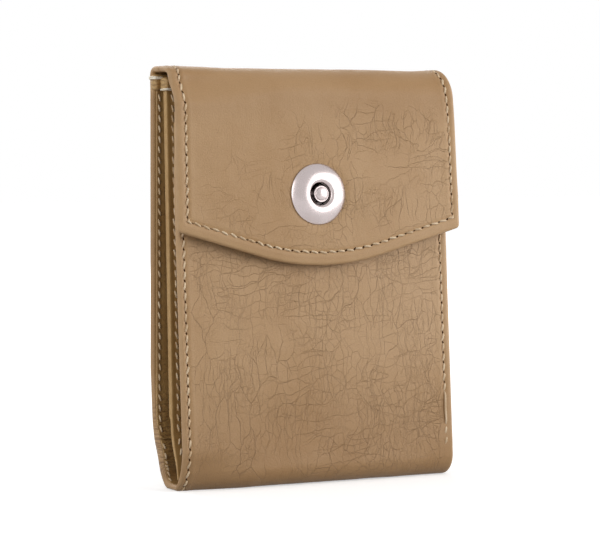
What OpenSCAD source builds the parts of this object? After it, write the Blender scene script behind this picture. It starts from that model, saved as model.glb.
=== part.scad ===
// Coupon organizer wallet: a tall leather bifold that stands on its bottom fold, closed by a flap with a magnetic snap.
// Millimetres. X runs along the width, Y from front to back, Z up. The origin is the centre of the footprint.

/* [Wallet] */
// Height of the closed wallet, from the bottom fold to the top
wallet_h = 123; // [112:1:140]
// Depth of the closed wallet, from the front of the bottom fold to the back
wallet_d = 21.5; // [20:0.5:26]
// Width of the back leaf and of the top
back_w = 93; // [92:0.5:110]
// Width of the front leaf and of the bottom fold
front_w = 91; // [84:0.5:92]
// Height at which the back leaf reaches its full width
back_taper_z = 35; // [20:1:60]
// Lean of the front leaf and of the flap, in degrees from upright
lean = 4.2; // [3.6:0.1:4.8]

/* [Leather] */
// Thickness of the outer leather
cover_t = 1.1; // [0.9:0.1:1.4]
// Thickness of the inner leather
lining_t = 0.7; // [0.5:0.1:0.9]
// Thickness of the stiffener boards in the front and back leaves
board_t = 0.5; // [0.3:0.1:0.8]
// Width of the stitched margin round a board or a pocket
seam_w = 3.5; // [2.5:0.5:5]
// Radius of a leaf's or pocket's corners
corner_r = 2.5; // [1:0.5:4]

/* [Folds] */
// Outer radius of the fold between the back leaf and the top
top_rear_r = 2.6; // [2.4:0.1:4]
// Outer radius of the fold between the top and the flap
top_front_r = 9.4; // [8.4:0.2:10]
// Outer radius of the fold between the bottom and the back leaf
bottom_rear_r = 8; // [5:0.5:9]
// Outer radius of the fold between the front leaf and the bottom
bottom_front_r = 6; // [5:0.5:7]

/* [Flap] */
// Width of the flap at its lower corners
flap_w = 94; // [93:0.5:111]
// Space between the flap's lining and the front leaf
flap_gap = 2.2; // [2:0.1:2.4]
// Height of the flap's lower corners, along the front leaf
flap_corner_v = 75.2; // [70:0.5:84]
// Radius of the flap's curved lower edge
flap_edge_r = 75; // [60:1:90]
// Slope of the straight ends of the lower edge, in degrees
flap_wing_a = 16; // [10:1:18]

/* [Pockets] */
// Thickness of a pocket panel
pocket_t = 0.7; // [0.5:0.1:0.9]
// Slack between a pocket panel and what it is sewn to
pocket_slack = 0.2; // [0.1:0.05:0.3]
// Height of the hem along a pocket's mouth
hem_h = 3.6; // [2:0.2:6]
// Thickness that a hem adds
hem_t = 0.9; // [0.4:0.1:1.1]
// Height of a pocket's bottom seam above the floor
pocket_z = 14; // [12:0.5:20]
// Distance from the top to the mouth of the back pocket and to the top of the middle leaf
mouth_drop = 3.5; // [3:0.1:5]
// Distance from the top to the upper edge of the front leaf
front_drop = 11; // [10:0.5:16]
// Distance from the front leaf's edge down to the mouth of its pocket
front_mouth_drop = 4; // [3:0.5:10]
// Thickness of one card slot
slot_t = 0.4; // [0.3:0.1:0.5]
// Height of the front-most card slot
slot_h = 40; // [36:1:44]
// Step from one card slot's mouth to the next
slot_step = 12; // [8:1:13]

/* [Middle leaf] */
// Width of the middle leaf
page_w = 90; // [84:0.5:92]
// Thickness of each leather side of the middle leaf
page_sheet_t = 0.5; // [0.4:0.1:0.7]
// Thickness of the board in the middle leaf
page_board_t = 0.4; // [0.3:0.1:0.6]
// Height of the middle leaf's foot, where its hinge strip starts
page_foot_z = 16; // [14:0.5:20]
// Space between the middle leaf's foot and the front leaf
page_foot_gap = 4.4; // [4:0.1:5]
// Space between the middle leaf and the upper edge of the front leaf
page_top_gap = 1.2; // [0.9:0.1:1.6]

/* [Snap] */
// Outer diameter of the snap's cap
snap_d = 18; // [14:0.5:20]
// Diameter of the hole in the cap
snap_hole_d = 6.8; // [6.6:0.1:7.6]
// Height of the cap's crown
snap_crown = 1.3; // [0.8:0.1:1.5]
// Sideways place of the snap
snap_x = -1.5; // [-10:0.5:10]
// Height of the snap along the front leaf
snap_v = 85.7; // [82:0.1:92]
// Diameter of the stud's post at its root
post_d = 5.2; // [4.6:0.1:5.4]
// Diameter of the stud's head
head_d = 3.6; // [3:0.1:3.8]
// Thickness of the stud's plate
plate_t = 0.6; // [0.4:0.1:0.7]
// Air between the stud's plate and the socket
snap_air = 0.2; // [0.1:0.05:0.3]

/* [Hidden] */
$fn = 64;

// Colours, as the photograph shows them
tan_face = [0.67, 0.55, 0.41];
tan_inside = [0.56, 0.44, 0.30];
board_grey = [0.62, 0.58, 0.52];
nickel = [0.78, 0.77, 0.75];

// Layers of a leaf, from the outer face in
fold_t = cover_t + lining_t;
board_n1 = cover_t + board_t;
lining_n1 = board_n1 + lining_t;
leaf_t = lining_n1 + pocket_t;

// The back leaf, flat against the rear plane
rear_y = wallet_d / 2;
back_z0 = bottom_rear_r;
back_z1 = wallet_h - top_rear_r;

// The leaning front: its own depth n runs inwards from the leaf's outer face, its height v runs up the leaf
base_y0 = -rear_y + bottom_front_r;
base_y1 = rear_y - bottom_rear_r;
front_v0 = bottom_front_r * (1 + sin(lean)) / cos(lean);
front_y0 = base_y0 - bottom_front_r * cos(lean) - front_v0 * sin(lean);
front_v1 = (wallet_h - front_drop) / cos(lean);
function front_world_y(n, v) = front_y0 + n * cos(lean) + v * sin(lean);
// Depth of the front leaf's inner face at a height z
function front_inner_y(z) = front_world_y(lining_n1, 0) + (z + lining_n1 * sin(lean)) * tan(lean);

// The fold between the top and the flap
flap_n0 = -flap_gap - fold_t;
top_bend_z = wallet_h - top_front_r;
top_bend_n = flap_n0 + top_front_r;
flap_v1 = (top_bend_z + top_bend_n * sin(lean)) / cos(lean);
top_bend_y = front_world_y(top_bend_n, flap_v1);
spine_y1 = rear_y - top_rear_r;

// The middle leaf, from its foot to its top
page_t = 2 * page_sheet_t + page_board_t + pocket_t;
page_top_z = wallet_h - mouth_drop;
page_foot_y = front_inner_y(page_foot_z) + pocket_t + page_foot_gap;
page_neck_z = wallet_h - front_drop;
page_neck_y = front_inner_y(page_neck_z) + pocket_t + page_top_gap;
page_lean = atan2(page_neck_y - page_foot_y, page_neck_z - page_foot_z);
page_len = (page_top_z - page_foot_z) / cos(page_lean);
page_back_n0 = page_sheet_t + page_board_t;
page_pocket_n0 = page_back_n0 + page_sheet_t;

// The middle leaf's hinge strip: one arc from its foot to the inside of the bottom fold
strip_t = 2 * page_sheet_t;
strip_gap = 0.3;
strip_end_a = 325;
strip_end_r = bottom_front_r - fold_t - strip_t / 2 - strip_gap;
strip_foot = [page_foot_y + strip_t / 2 * cos(page_lean), page_foot_z - strip_t / 2 * sin(page_lean)];
strip_end = [base_y0 + strip_end_r * sin(strip_end_a), bottom_front_r - strip_end_r * cos(strip_end_a)];
strip_chord = strip_end - strip_foot;
strip_half_a = acos(strip_chord * [-sin(page_lean), -cos(page_lean)] / norm(strip_chord));
strip_r = norm(strip_chord) / (2 * sin(strip_half_a));
strip_centre = strip_foot + strip_r * [-cos(page_lean), sin(page_lean)];

// The snap's heights, measured out of the front leaf
socket_z0 = plate_t + snap_air;
flap_out = flap_gap + fold_t;
socket_r = 7.5;
socket_bore_r = snap_hole_d / 2 + 0.7;
barrel_r = snap_hole_d / 2 + 0.9;
barrel_bore_r = snap_hole_d / 2 + 0.1;
shank_r = 1.5;
washer_r = 5.5;
metal_wall = 0.2;
magnet_wall = 0.6;
hole_slack = 0.1;

// The lower edge of the flap
flap_wing_x = flap_edge_r * sin(flap_wing_a);
flap_low_v = flap_corner_v - (flap_w / 2 - flap_wing_x) * tan(flap_wing_a) - flap_edge_r * (1 - cos(flap_wing_a));

// Points along an arc of the X and Z plane, from angle a0 to a1
function arc(cx, cz, r, a0, a1, steps) =
    [for (i = [0:steps]) [cx + r * cos(a0 + (a1 - a0) * i / steps), cz + r * sin(a0 + (a1 - a0) * i / steps)]];

// Outline of a panel with rounded upper corners
function panel(w, z0, z1, r) = concat(
    [[-w / 2, z0], [w / 2, z0]],
    arc(w / 2 - r, z1 - r, r, 0, 90, 5),
    arc(-w / 2 + r, z1 - r, r, 90, 180, 5));

// Outline of the flap, drawn in by m from its free edges
function flap_outline(m) = concat(
    [[-back_w / 2 + m, flap_v1], [-flap_w / 2 + m, flap_corner_v + m]],
    arc(0, flap_low_v + flap_edge_r + m, flap_edge_r, 270 - flap_wing_a, 270 + flap_wing_a, 12),
    [[flap_w / 2 - m, flap_corner_v + m], [back_w / 2 - m, flap_v1]]);

// A sheet cut to an outline in X and Z, filling depths y0 to y1
module cut_sheet(points, y0, y1) {
    translate([0, y1, 0])
        rotate([90, 0, 0])
            linear_extrude(y1 - y0)
                polygon(points);
}

// Leather bent about X: angles run from straight down, round by the back and the top, to the front
module bend(cy, cz, r_out, thick, from_a, to_a, w) {
    translate([0, cy, cz])
        rotate([0, 90, 0])
            rotate([0, 0, from_a])
                rotate_extrude(angle = to_a - from_a)
                    translate([r_out - thick, -w / 2])
                        square([thick, w]);
}

// Places what follows on the leaning front leaf, with depth n along Y and height v along Z
module on_front() {
    translate([0, front_y0, 0])
        rotate([-lean, 0, 0])
            children();
}

// Places what follows on the middle leaf, with its front face at Y = 0 and its foot at Z = 0
module on_page() {
    translate([0, page_foot_y, page_foot_z])
        rotate([-page_lean, 0, 0])
            children();
}

// Places a turned part on the snap's axis, with Z out of the front leaf
module on_snap() {
    on_front()
        translate([snap_x, 0, snap_v])
            rotate([90, 0, 0])
                children();
}

// A ring between two radii and two heights
module ring(r_in, r_out, z0, z1) {
    rotate_extrude()
        translate([r_in, z0])
            square([r_out - r_in, z1 - z0]);
}

// The board's place inside a leaf, a margin in from its edges
module board_space(w, v0, v1, n0, n1) {
    cut_sheet(panel(w - 2 * seam_w, v0 + seam_w, v1 - seam_w, corner_r), n0, n1);
}

// A pocket panel from depth n0 to n1, slack inside its seams and open at its mouth
module pocket(w, v0, v1, n0, n1, slack_n0, slack_n1) {
    difference() {
        cut_sheet(panel(w, v0, v1, corner_r), n0, n1);
        translate([-w / 2 + seam_w, slack_n0, v0 + seam_w])
            cube([w - 2 * seam_w, slack_n1 - slack_n0, v1 - v0]);
    }
}

// Back leaf

module back_cover() {
    color(tan_face)
        cut_sheet([
            [-front_w / 2, back_z0], [front_w / 2, back_z0],
            [back_w / 2, back_taper_z], [back_w / 2, back_z1],
            [-back_w / 2, back_z1], [-back_w / 2, back_taper_z]
        ], rear_y - cover_t, rear_y);
}

module back_board() {
    color(board_grey)
        board_space(front_w, back_z0, back_z1, rear_y - board_n1, rear_y - cover_t);
}

module back_lining() {
    color(tan_inside)
        difference() {
            cut_sheet([
                [-front_w / 2, back_z0], [front_w / 2, back_z0],
                [back_w / 2, back_taper_z], [back_w / 2, back_z1],
                [-back_w / 2, back_z1], [-back_w / 2, back_taper_z]
            ], rear_y - lining_n1, rear_y - cover_t);
            board_space(front_w, back_z0, back_z1, rear_y - board_n1, rear_y - cover_t);
        }
}

module back_pocket() {
    color(tan_inside)
        pocket(front_w, pocket_z, page_top_z, rear_y - leaf_t, rear_y - lining_n1,
            rear_y - lining_n1 - pocket_slack, rear_y - lining_n1);
}

module back_pocket_hem() {
    color(tan_inside)
        cut_sheet(panel(front_w, page_top_z - hem_h, page_top_z, corner_r),
            rear_y - leaf_t - hem_t, rear_y - leaf_t);
}

module fold_bottom_rear() {
    color(tan_face)
        bend(base_y1, bottom_rear_r, bottom_rear_r, fold_t, 0, 90, front_w);
}

module fold_top_rear() {
    color(tan_face)
        bend(spine_y1, back_z1, top_rear_r, fold_t, 90, 180, back_w);
}

// Top of the wallet

module spine_cover() {
    color(tan_face)
        translate([-back_w / 2, top_bend_y, wallet_h - cover_t])
            cube([back_w, spine_y1 - top_bend_y, cover_t]);
}

module spine_lining() {
    color(tan_inside)
        translate([-back_w / 2, top_bend_y, wallet_h - fold_t])
            cube([back_w, spine_y1 - top_bend_y, lining_t]);
}

module fold_top_front() {
    color(tan_face)
        bend(top_bend_y, top_bend_z, top_front_r, fold_t, 180, 270 - lean, back_w);
}

// Flap and the half of the snap that it carries

module flap_cover() {
    color(tan_face)
        difference() {
            on_front() cut_sheet(flap_outline(0), flap_n0, flap_n0 + cover_t);
            on_snap() cylinder(r = barrel_r + hole_slack, h = 2 * flap_out);
        }
}

module flap_lining() {
    color(tan_inside)
        difference() {
            on_front() cut_sheet(flap_outline(0), flap_n0 + cover_t, -flap_gap);
            on_snap() cylinder(r = barrel_r + hole_slack, h = 2 * flap_out);
        }
}

module snap_cap() {
    band = snap_d / 2 - snap_hole_d / 2;
    rise = snap_crown - 2 * metal_wall;
    crown_r = (band * band / 4 + rise * rise) / (2 * rise);
    color(nickel)
        on_snap()
            translate([0, 0, flap_out])
                rotate_extrude()
                    translate([snap_hole_d / 2, 0])
                        union() {
                            square([band, 2 * metal_wall]);
                            intersection() {
                                translate([band / 2, snap_crown - crown_r]) circle(crown_r);
                                translate([0, metal_wall]) square([band, snap_crown]);
                            }
                        }
}

module snap_barrel() {
    color(nickel)
        on_snap()
            ring(barrel_bore_r, barrel_r, flap_gap, flap_out);
}

module snap_socket() {
    color(nickel)
        on_snap()
            difference() {
                ring(socket_bore_r, socket_r, socket_z0, flap_gap);
                ring(socket_bore_r + magnet_wall, socket_r - magnet_wall,
                    socket_z0 + metal_wall, flap_gap - metal_wall);
            }
}

module snap_magnet() {
    color([0.35, 0.35, 0.36])
        on_snap()
            ring(socket_bore_r + magnet_wall, socket_r - magnet_wall,
                socket_z0 + metal_wall, flap_gap - metal_wall);
}

// Bottom of the wallet and the middle leaf's hinge strip

module base_cover() {
    color(tan_face)
        translate([-front_w / 2, base_y0, 0])
            cube([front_w, base_y1 - base_y0, cover_t]);
}

module base_lining() {
    color(tan_inside)
        translate([-front_w / 2, base_y0, cover_t])
            cube([front_w, base_y1 - base_y0, lining_t]);
}

module fold_bottom_front() {
    color(tan_face)
        bend(base_y0, bottom_front_r, bottom_front_r, fold_t, 270 - lean, 360, front_w);
}

module page_hinge_strip() {
    color(tan_inside)
        bend(strip_centre[0], strip_centre[1], strip_r + strip_t / 2, strip_t,
            90 - page_lean - 2 * strip_half_a, 90 - page_lean, page_w);
}

// Front leaf and the half of the snap that it carries

module front_cover() {
    color(tan_face)
        difference() {
            on_front() cut_sheet(panel(front_w, front_v0, front_v1, corner_r), 0, cover_t);
            on_snap() cylinder(r = shank_r + hole_slack, h = 4 * leaf_t, center = true);
        }
}

module front_board() {
    color(board_grey)
        difference() {
            on_front() board_space(front_w, front_v0, front_v1, cover_t, board_n1);
            on_snap() cylinder(r = washer_r + hole_slack, h = 4 * leaf_t, center = true);
        }
}

module front_lining() {
    color(tan_inside)
        on_front()
            difference() {
                cut_sheet(panel(front_w, front_v0, front_v1, corner_r), cover_t, lining_n1);
                board_space(front_w, front_v0, front_v1, cover_t, board_n1);
            }
}

module front_pocket() {
    color(tan_inside)
        on_front()
            pocket(front_w, pocket_z, front_v1 - front_mouth_drop, lining_n1, leaf_t,
                lining_n1, lining_n1 + pocket_slack);
}

// One card slot of the stepped stack, counted from the leaf out
module card_slot(layer) {
    color(tan_inside)
        on_front()
            cut_sheet(panel(front_w - seam_w, pocket_z, pocket_z + slot_h + (2 - layer) * slot_step, corner_r),
                leaf_t + layer * slot_t, leaf_t + (layer + 1) * slot_t);
}

module snap_stud() {
    post_top = flap_out - 2 * metal_wall;
    head_top = flap_out + snap_crown - metal_wall;
    color(nickel)
        on_snap()
            rotate_extrude()
                polygon([
                    [0, -board_n1], [shank_r, -board_n1], [shank_r, 0],
                    [socket_r, 0], [socket_r, plate_t], [post_d / 2, plate_t],
                    [post_d / 2 - metal_wall, post_top - metal_wall],
                    [post_d / 2 - 2 * metal_wall, post_top], [head_d / 2, post_top],
                    [head_d / 2, head_top - 2 * metal_wall],
                    [head_d / 2 - 2 * metal_wall, head_top - metal_wall / 2], [0, head_top]
                ]);
}

module stud_washer() {
    color(nickel)
        on_snap()
            ring(shank_r, washer_r, -board_n1, -cover_t);
}

// Middle leaf

module page_front() {
    color(tan_inside)
        on_page()
            cut_sheet(panel(page_w, 0, page_len, corner_r), 0, page_sheet_t);
}

module page_board() {
    color(board_grey)
        on_page()
            board_space(page_w, 0, page_len, page_sheet_t, page_back_n0);
}

module page_back() {
    color(tan_inside)
        on_page()
            difference() {
                cut_sheet(panel(page_w, 0, page_len, corner_r), page_sheet_t, page_pocket_n0);
                board_space(page_w, 0, page_len, page_sheet_t, page_back_n0);
            }
}

module page_pocket() {
    color(tan_inside)
        on_page()
            pocket(page_w, seam_w, page_len, page_pocket_n0, page_t,
                page_pocket_n0, page_pocket_n0 + pocket_slack);
}

module page_hem_front() {
    color(tan_inside)
        on_page()
            cut_sheet(panel(page_w, page_len - hem_h, page_len, corner_r), -hem_t, 0);
}

module page_hem_back() {
    color(tan_inside)
        on_page()
            cut_sheet(panel(page_w, page_len - hem_h, page_len, corner_r), page_t, page_t + hem_t);
}

back_cover();
back_board();
back_lining();
back_pocket();
back_pocket_hem();
fold_bottom_rear();
fold_top_rear();
spine_cover();
spine_lining();
fold_top_front();
flap_cover();
flap_lining();
snap_cap();
snap_barrel();
snap_socket();
snap_magnet();
base_cover();
base_lining();
fold_bottom_front();
page_hinge_strip();
front_cover();
front_board();
front_lining();
front_pocket();
card_slot(0);  // card_slot_high
card_slot(1);  // card_slot_mid
card_slot(2);  // card_slot_low
snap_stud();
stud_washer();
page_front();
page_board();
page_back();
page_pocket();
page_hem_front();
page_hem_back();
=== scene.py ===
"""Coupon organizer wallet: its leather, thread, boards and metal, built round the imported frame.

The geometry is worked out in millimetres and becomes metres when a mesh is made.
x runs across the wallet, s along a sheet of leather, and n into it from the face that is seen.
"""
import math

import bpy
import numpy as np
from mathutils import Matrix, Vector, noise


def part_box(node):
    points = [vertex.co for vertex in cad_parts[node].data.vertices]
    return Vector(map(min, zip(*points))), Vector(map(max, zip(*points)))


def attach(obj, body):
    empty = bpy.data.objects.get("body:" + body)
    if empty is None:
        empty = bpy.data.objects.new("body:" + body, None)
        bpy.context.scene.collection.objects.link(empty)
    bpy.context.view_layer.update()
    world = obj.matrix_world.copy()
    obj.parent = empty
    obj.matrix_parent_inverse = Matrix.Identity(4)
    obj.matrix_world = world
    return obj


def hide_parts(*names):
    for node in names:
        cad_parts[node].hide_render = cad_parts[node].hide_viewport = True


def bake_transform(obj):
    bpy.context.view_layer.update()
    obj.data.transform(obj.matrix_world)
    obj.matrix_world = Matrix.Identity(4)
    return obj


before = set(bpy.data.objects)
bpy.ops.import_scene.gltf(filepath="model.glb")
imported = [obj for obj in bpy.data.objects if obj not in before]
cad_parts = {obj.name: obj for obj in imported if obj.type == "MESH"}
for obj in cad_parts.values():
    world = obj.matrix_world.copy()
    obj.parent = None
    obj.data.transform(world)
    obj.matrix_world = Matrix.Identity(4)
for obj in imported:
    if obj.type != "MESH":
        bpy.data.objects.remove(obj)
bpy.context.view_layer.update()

MM = 0.001

# Camera, fitted to the photograph's outline and stitch rows
VIEW_AZIMUTH = -28.241
VIEW_ELEVATION = 3.208
VIEW_DISTANCE = 743.6
VIEW_TARGET = (-8.783, -11.85, 60.78)
VIEW_ROLL = 0.13
VIEW_LENS = 152.65

# Leather
GRID_STEP = 0.8
FOLD_STEP_ANGLE = math.radians(6)
FINE_STEP = 0.32
FINE_MARGIN = 5.0
LEAF_RIM = 1.15
THIN_RIM = 0.4
LINING_INSET = 0.6
BOARD_INSET = 3.4
GROOVE_DEPTH = 0.2
GROOVE_WIDTH = 0.6

# Thread
STITCH_PITCH = 3.0
STITCH_LENGTH = 2.15
STITCH_RADIUS = 0.31
STITCH_SLANT = 0.24
STITCH_RINGS = 11
THREAD_SINK = 0.22
THREAD_RISE = 0.42
THREAD_SIDES = 10
THREAD_LOBES = 3
HOLE_LENGTH = 0.72
HOLE_WIDTH = 0.34
HOLE_SIDES = 12

# Where the rows of stitches run
FRONT_SEAM_LEFT = -43.6
FRONT_SEAM_RIGHT = 42.8
BACK_SEAM_INSET = 2.3
FLAP_SEAM_INSET = 2.8
FLAP_SEAM_RISE = 3.8
FLAP_SEAM_SHIFT = 0.2
BACK_SEAM_DROP = 3.6
TACK_DROP = 3.4

# How far the photograph's wear and softness move the sheets
FOLD_PULL = 2.5
FOLD_SWELL = 1.7
FLAP_FALL = 2.2
RIDGE_SAG = 0.3
LEAF_DRIFT = 0.3
FLAP_DRIFT = 0.5
CORNER_NARROWED = 1.0
PAGE_SETBACK = 1.5
HEM_RIM = 0.9
PAGE_HEM_T = 4.5
PAGE_HEM_LEAN = 0.072

# Snap
SNAP_SHIFT = 0.4
POST_SHIFT = 0.4
SNAP_HOLE_R = 4.0
SNAP_SEGMENTS = 96

SIDES = (("left", -1), ("right", 1))


# Sizes read from the frame

def box_mm(node):
    """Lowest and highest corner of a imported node, in millimetres."""
    low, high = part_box(node)
    return np.array(low) / MM, np.array(high) / MM


def side_points(node):
    """(y, z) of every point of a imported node, in millimetres."""
    return np.array([v.co[1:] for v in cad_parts[node].data.vertices]) / MM


class Plane:
    """A leaning flat node: its outer lower corner, its ways in and up, its thickness and its length."""

    def __init__(self, node, like=None):
        points = side_points(node)
        way_up = np.linalg.svd(points - points.mean(0), full_matrices=False)[2][0]
        self.up = like.up if like else way_up * np.sign(way_up[1])
        self.inward = np.array([self.up[1], -self.up[0]])
        depths = points @ self.inward
        heights = points @ self.up
        self.thickness = np.ptp(depths)
        self.length = np.ptp(heights)
        self.origin = self.inward * depths.min() + self.up * heights.min()

    def at(self, n, v):
        """(y, z) at depth n behind the outer face and height v above the lower edge."""
        return (self.origin[0] + n * self.inward[0] + v * self.up[0],
                self.origin[1] + n * self.inward[1] + v * self.up[1])


SPINE = box_mm("spine_cover")
BASE = box_mm("base_cover")
BACK = box_mm("back_cover")
FRONT_FOLD = box_mm("fold_bottom_front")
TOP_FOLD = box_mm("fold_top_front")
FRONT = Plane("front_cover")
FLAP = Plane("flap_cover")
PAGE = Plane("page_front")
LEAN = math.atan2(FRONT.up[0], FRONT.up[1])

WALLET_H = SPINE[1][2]
REAR_Y = BACK[1][1]
COVER_T = BASE[1][2] - BASE[0][2]
LINING_T = np.ptp(box_mm("base_lining"), axis=0)[2]
FOLD_T = COVER_T + LINING_T
BOARD_T = np.ptp(box_mm("back_board"), axis=0)[1]
BACK_HALF = BACK[1][0]
FRONT_HALF = BASE[1][0]
FLAP_HALF = box_mm("flap_cover")[1][0]
BACK_TAPER_Z = 35.0
TOP_REAR_R = WALLET_H - BACK[1][2]
BOTTOM_REAR_R = BACK[0][2]
BOTTOM_FRONT_R = BASE[0][1] - FRONT_FOLD[0][1]
TOP_FRONT_R = (SPINE[0][1] - TOP_FOLD[0][1]) / math.cos(LEAN)
FLAP_CORNER_RISE = 10.45
FLAP_EDGE_R = 75.0
FLAP_WING = math.radians(16)


# The cover's line, from the front leaf's upper edge round the bottom and up to the flap's tip

class Profile:
    """Straight runs and arcs in the YZ plane, with the inside of the wallet on the left."""

    def __init__(self, start, heading, runs):
        self.runs = runs
        self.marks = [0.0]
        self.starts = [np.array(start, float)]
        self.headings = [heading]
        for k, (length, _) in enumerate(runs):
            y, z, heading = self.along(k, length)
            self.marks.append(self.marks[-1] + length)
            self.starts.append(np.array([y, z]))
            self.headings.append(heading)

    def along(self, k, distance):
        """(y, z, heading) at a distance along run k."""
        length, turn = self.runs[k]
        y, z = self.starts[k]
        heading = self.headings[k]
        if turn == 0:
            return (y + distance * math.cos(heading), z + distance * math.sin(heading),
                    heading + 0 * distance)
        radius = length / turn
        ahead = heading + distance / radius
        return (y + radius * (np.sin(ahead) - math.sin(heading)),
                z - radius * (np.cos(ahead) - math.cos(heading)), ahead)

    def run_of(self, s):
        """Which run a distance along the line lies in."""
        return np.clip(np.searchsorted(self.marks, s, side="right") - 1, 0, len(self.runs) - 1)

    def at(self, s, n):
        """(y, z) at the distance s along the line and the depth n inside it."""
        s, n = np.broadcast_arrays(np.asarray(s, float), np.asarray(n, float))
        y, z = np.zeros(s.shape), np.zeros(s.shape)
        which = self.run_of(s)
        for k in range(len(self.runs)):
            here = which == k
            if here.any():
                run_y, run_z, heading = self.along(k, s[here] - self.marks[k])
                y[here] = run_y - n[here] * np.sin(heading)
                z[here] = run_z + n[here] * np.cos(heading)
        return y, z


QUARTER = math.pi / 2
COVER = Profile(FRONT.at(0, FRONT.length), -QUARTER - LEAN, [
    (FRONT.length, 0),
    (BOTTOM_FRONT_R * (QUARTER + LEAN), QUARTER + LEAN),
    (BASE[1][1] - BASE[0][1], 0),
    (BOTTOM_REAR_R * QUARTER, QUARTER),
    (BACK[1][2] - BACK[0][2], 0),
    (TOP_REAR_R * QUARTER, QUARTER),
    (SPINE[1][1] - SPINE[0][1], 0),
    (TOP_FRONT_R * (QUARTER - LEAN), QUARTER - LEAN),
    (FLAP.length, 0),
])
S_FRONT_TOP, S_FRONT_FOOT, S_BASE_FRONT, S_BASE_REAR, S_BACK_FOOT, S_BACK_TOP, S_TOP_REAR, S_TOP_FRONT, \
    S_FLAP, S_TIP = COVER.marks
S_BASE_MID = (S_BASE_FRONT + S_BASE_REAR) / 2
S_BACK_MID = (S_BACK_FOOT + S_BACK_TOP) / 2
S_TOP_MID = (S_TOP_REAR + S_TOP_FRONT) / 2


def back_s(z):
    """Distance along the cover of a height on the back leaf."""
    return S_BACK_FOOT + z - BOTTOM_REAR_R


def front_s(z):
    """Distance along the cover of a height above the front leaf's foot."""
    return S_FRONT_FOOT - z


def smooth(a, b, value):
    """0 up to a, 1 from b on, and an S between them."""
    t = np.clip((np.asarray(value, float) - a) / (b - a), 0, 1)
    return t * t * (3 - 2 * t)


def between(a, b, c, d, value):
    """Up from 0 to 1 between a and b, and down again between c and d."""
    return smooth(a, b, value) * (1 - smooth(c, d, value))


def bell(value, centre, width):
    """1 at the centre, and near 0 from twice the width on."""
    return np.exp(-((value - centre) / width) ** 2)


def cover_half(s):
    """Half the cover's width at s: it grows up the back leaf and again down the flap."""
    grown = FRONT_HALF + (BACK_HALF - FRONT_HALF) * np.clip(
        (s - S_BACK_FOOT) / (BACK_TAPER_Z - BOTTOM_REAR_R), 0, 1)
    corner = S_TIP - FLAP_CORNER_RISE
    return grown + (FLAP_HALF - BACK_HALF) * np.clip((s - S_FLAP) / (corner - S_FLAP), 0, 1)


def flap_tip(x):
    """How far the flap's lower edge lies above its tip at x: an arc in the middle and straight wings."""
    wing_x = FLAP_EDGE_R * math.sin(FLAP_WING)
    arc = FLAP_EDGE_R - np.sqrt(FLAP_EDGE_R ** 2 - np.minimum(np.abs(x), wing_x) ** 2)
    return arc + np.maximum(np.abs(x) - wing_x, 0) * math.tan(FLAP_WING)


def field(x, s, size, seed):
    """Smooth noise from about -1 to 1 over a sheet, with features of the given size."""
    flat = [noise.noise(Vector((a / size, b / size, seed))) for a, b in zip(np.ravel(x), np.ravel(s))]
    return np.array(flat).reshape(np.shape(x)) * 1.6


# Meshes

def new_object(name, points, faces, material, closed=True):
    """A smooth mesh object from points in millimetres. A closed one gets its faces turned to face out."""
    if closed:
        corners = points[np.array([face[:3] for face in faces])]
        volume = np.einsum("ij,ij->i", corners[:, 0], np.cross(corners[:, 1], corners[:, 2])).sum()
        faces = faces if volume > 0 else [face[::-1] for face in faces]
    mesh = bpy.data.meshes.new(name)
    mesh.from_pydata((points * MM).tolist(), [], faces)
    mesh.polygons.foreach_set("use_smooth", [True] * len(mesh.polygons))
    mesh.materials.append(material)
    obj = bpy.data.objects.new(name, mesh)
    bpy.context.scene.collection.objects.link(obj)
    return obj


def ring_set(name, rings, material):
    """Closed pieces, each a run of rings with a cap at both ends: (piece, ring, point, 3)."""
    index = np.arange(rings[..., 0].size).reshape(rings.shape[:3])
    after = np.roll(index, -1, axis=2)
    quads = np.stack([index[:, :-1], after[:, :-1], after[:, 1:], index[:, 1:]], -1).reshape(-1, 4).tolist()
    caps = [row[::-1].tolist() for row in index[:, 0]] + [row.tolist() for row in index[:, -1]]
    return new_object(name, rings.reshape(-1, 3), quads + caps, material)


def unit(vectors):
    """The same directions, each 1 long."""
    return vectors / np.linalg.norm(vectors, axis=-1, keepdims=True)


def circle(count):
    """Even angles, once round."""
    return np.linspace(0, 2 * math.pi, count, endpoint=False)


def insets(rim, margin, seats):
    """Distances in from a free edge at which a sheet has grid lines."""
    lines = [*rim * (1 - np.cos(np.linspace(0, QUARTER, 7))), *np.arange(rim + FINE_STEP, margin, FINE_STEP)]
    for start, _ in seats:
        lines += [start, start + 0.06]
    return np.unique(np.round(lines, 3))


def lines_between(start, end, free_start, free_end, edge_lines, curved=False):
    """Grid lines from start to end: close along a free edge and in the cover's bends, even elsewhere."""
    first = start + edge_lines if free_start else np.array([start])
    last = end - edge_lines[::-1] if free_end else np.array([end])
    marks = COVER.marks if curved else ()
    stops = [first[-1]] + [m for m in marks if first[-1] < m < last[0]] + [last[0]]
    inner = []
    for a, b in zip(stops[:-1], stops[1:]):
        length, turn = COVER.runs[COVER.run_of((a + b) / 2)] if curved else (0, 0)
        step = min(GRID_STEP, abs(length / turn) * FOLD_STEP_ANGLE) if turn else GRID_STEP
        inner += list(np.linspace(a, b, max(1, math.ceil((b - a) / step)) + 1)[1:])
    return np.unique(np.round(np.concatenate([first, inner[:-1], last]), 4))


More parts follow.
